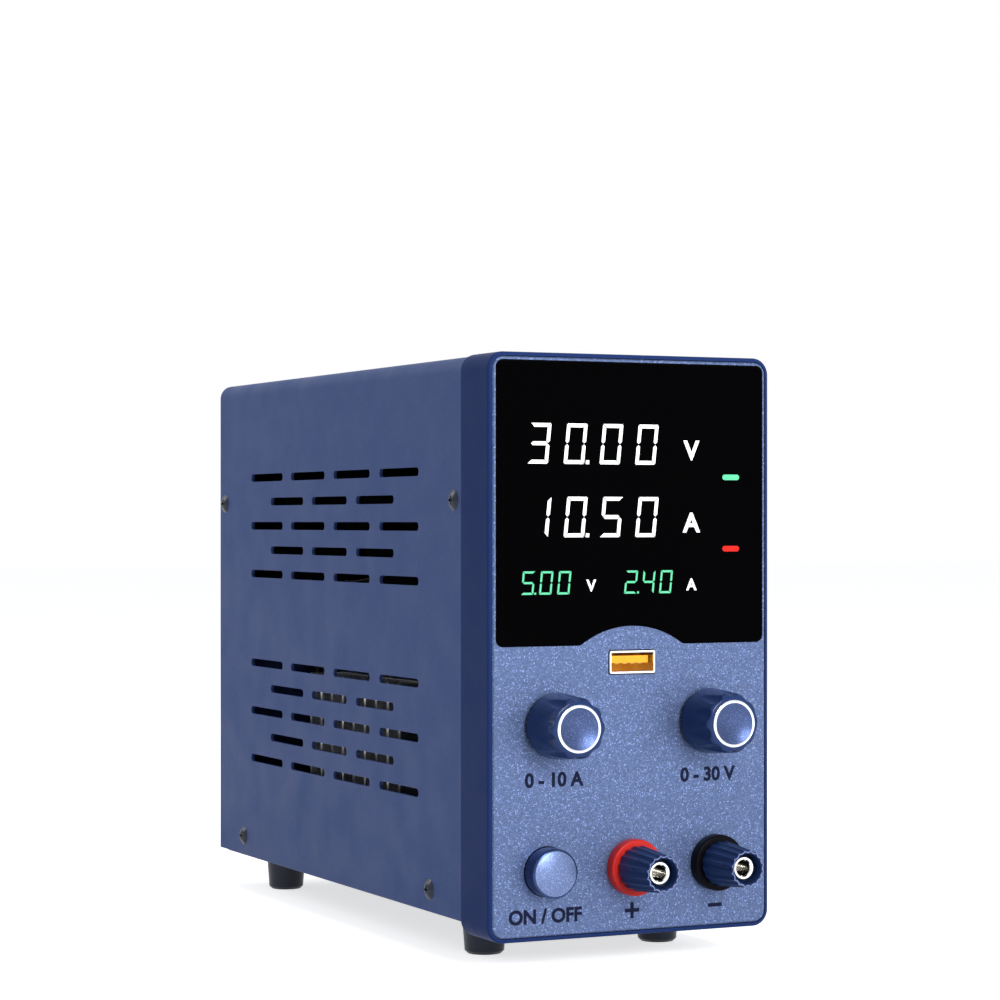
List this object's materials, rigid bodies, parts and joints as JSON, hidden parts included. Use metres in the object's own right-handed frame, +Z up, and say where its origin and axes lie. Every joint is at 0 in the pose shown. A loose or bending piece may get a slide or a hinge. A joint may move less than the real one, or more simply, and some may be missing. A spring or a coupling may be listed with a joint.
{
  "type": "bench power supply",
  "caption": "Slim upright bench power supply: bent slotted cover, dark display lens, scalloped knobs, push button, charging socket, screw-clamp output posts, rear fan and mains inlet.",
  "frame": {"origin": "centre of the footprint on the plane under the feet", "axes": "+Z up, +Y from the front panel to the back, +X to the right as seen from the front"},
  "size_m": [0.0856, 0.2248, 0.1614],
  "materials": {
    "cover_paint": "satin powder coat",
    "pan_paint": "satin powder coat",
    "bezel_plastic": "fine moulded texture",
    "panel_paint": "metallic satin",
    "lens": "polished dark",
    "circuit_board": "solder mask",
    "display_body": "grey filled",
    "lamp": "clear",
    "socket_shell": "bright plated",
    "socket_tongue": "moulded orange",
    "encoder_case": "plated",
    "plated_steel": "zinc plated",
    "shaft_metal": "turned",
    "contact_plate": "moulded",
    "knob_plastic": "glossy dark blue",
    "knob_cap_metal": "spun with a bright rim",
    "button_metal": "satin anodised",
    "black_plastic": "moulded",
    "red_collar": "moulded red",
    "black_collar": "moulded black",
    "nickel": "nickel plated",
    "cap_plastic": "moulded dark blue",
    "insulator": "moulded",
    "brass_lug": "tinned brass",
    "fan_plastic": "moulded black",
    "guard_wire": "bright wire",
    "inlet_plastic": "moulded black",
    "pin_metal": "nickelled brass",
    "fuse_glass": "clear with plated ends",
    "selector_red": "moulded red",
    "black_screw": "black oxide",
    "foot_rubber": "moulded",
    "ferrite": "ground ferrite",
    "winding_tape": "taped",
    "can_sleeve": "sleeved can",
    "sink_metal": "extruded",
    "device_epoxy": "moulded",
    "choke_wire": "enamelled copper",
    "filter_wire": "enamelled copper",
    "lead_jacket": "insulated wire"
  },
  "bodies": {
    "housing": {"board_screws": "plated_steel", "board_standoffs": "plated_steel", "bottom_pan": "pan_paint", "bulk_capacitors": "can_sleeve", "case_screws": "black_screw", "control_board": "circuit_board", "display_lens": "lens", "encoder_nuts": "plated_steel", "encoders": "encoder_case", "fan_frame": "fan_plastic", "fan_guard": "guard_wire", "fan_screws": "plated_steel", "feet": "foot_rubber", "foot_screws": "plated_steel", "front_bezel": "bezel_plastic", "front_panel": "panel_paint", "heat_sinks": "sink_metal", "inlet_body": "inlet_plastic", "inlet_pins": "pin_metal", "inlet_screws": "plated_steel", "line_filter": "filter_wire", "main_board": "circuit_board", "main_displays": "display_body", "mode_lamps": "lamp", "negative_collar": "black_collar", "output_capacitors": "can_sleeve", "output_choke": "choke_wire", "positive_collar": "red_collar", "post_insulators": "insulator", "post_lugs": "brass_lug", "post_nuts": "plated_steel", "post_stems": "nickel", "power_devices": "device_epoxy", "power_switch": "black_plastic", "rear_panel": "pan_paint", "selector_body": "black_plastic", "top_cover": "cover_paint", "transformer_core": "ferrite", "transformer_winding": "winding_tape", "usb_displays": "display_body", "usb_shell": "socket_shell", "usb_tongue": "socket_tongue", "wiring": "lead_jacket"},
    "current_push": {"current_push_plate": "contact_plate"},
    "current_turn": {"current_shaft": "shaft_metal", "current_knob": "knob_plastic", "current_knob_cap": "knob_cap_metal"},
    "voltage_push": {"voltage_push_plate": "contact_plate"},
    "voltage_turn": {"voltage_shaft": "shaft_metal", "voltage_knob": "knob_plastic", "voltage_knob_cap": "knob_cap_metal"},
    "power_button": {"power_button": "button_metal"},
    "positive_washer": {"positive_clamp_washer": "nickel"},
    "positive_cap": {"positive_clamp_cap": "cap_plastic"},
    "negative_washer": {"negative_clamp_washer": "nickel"},
    "negative_cap": {"negative_clamp_cap": "cap_plastic"},
    "fan_rotor": {"fan_rotor": "fan_plastic"},
    "fuse_drawer": {"fuse_drawer": "inlet_plastic", "fuse": "fuse_glass"},
    "selector": {"selector_slider": "selector_red"}
  },
  "joints": [
    {"name": "current_press", "type": "slide", "parent": "housing", "child": "current_push", "axis": [0, 1, 0], "range_m": [0, 0.0005], "stiffness_N_per_m": 2500, "springref_m": -0.001},
    {"name": "current_knob_turn", "type": "hinge", "parent": "current_push", "child": "current_turn", "pos_m": [-0.0229, -0.0947, 0.0639], "axis": [0, 1, 0], "continuous": true},
    {"name": "voltage_press", "type": "slide", "parent": "housing", "child": "voltage_push", "axis": [0, 1, 0], "range_m": [0, 0.0005], "stiffness_N_per_m": 2500, "springref_m": -0.001},
    {"name": "voltage_knob_turn", "type": "hinge", "parent": "voltage_push", "child": "voltage_turn", "pos_m": [0.0229, -0.0947, 0.0639], "axis": [0, 1, 0], "continuous": true},
    {"name": "power_press", "type": "slide", "parent": "housing", "child": "power_button", "axis": [0, 1, 0], "range_m": [0, 0.0026], "stiffness_N_per_m": 700, "springref_m": -0.002},
    {"name": "positive_cap_travel", "type": "slide", "parent": "housing", "child": "positive_washer", "axis": [0, -1, 0], "range_m": [0, 0.003]},
    {"name": "positive_cap_turn", "type": "hinge", "parent": "positive_washer", "child": "positive_cap", "pos_m": [0, -0.0947, 0.0258], "axis": [0, -1, 0], "range_deg": [0, 1080]},
    {"name": "negative_cap_travel", "type": "slide", "parent": "housing", "child": "negative_washer", "axis": [0, -1, 0], "range_m": [0, 0.003]},
    {"name": "negative_cap_turn", "type": "hinge", "parent": "negative_washer", "child": "negative_cap", "pos_m": [0.0252, -0.0947, 0.0258], "axis": [0, -1, 0], "range_deg": [0, 1080]},
    {"name": "fan_spin", "type": "hinge", "parent": "housing", "child": "fan_rotor", "pos_m": [0, 0.1003, 0.126], "axis": [0, 1, 0], "continuous": true},
    {"name": "fuse_drawer_slide", "type": "slide", "parent": "housing", "child": "fuse_drawer", "axis": [0, 1, 0], "range_m": [0, 0.015]},
    {"name": "selector_slide", "type": "slide", "parent": "housing", "child": "selector", "axis": [1, 0, 0], "range_m": [0, 0.006]}
  ],
  "couplings": [
    {"joint": "positive_cap_turn", "follows": "positive_cap_travel", "rad_per_m": 6283.2},
    {"joint": "negative_cap_turn", "follows": "negative_cap_travel", "rad_per_m": 6283.2}
  ]
}
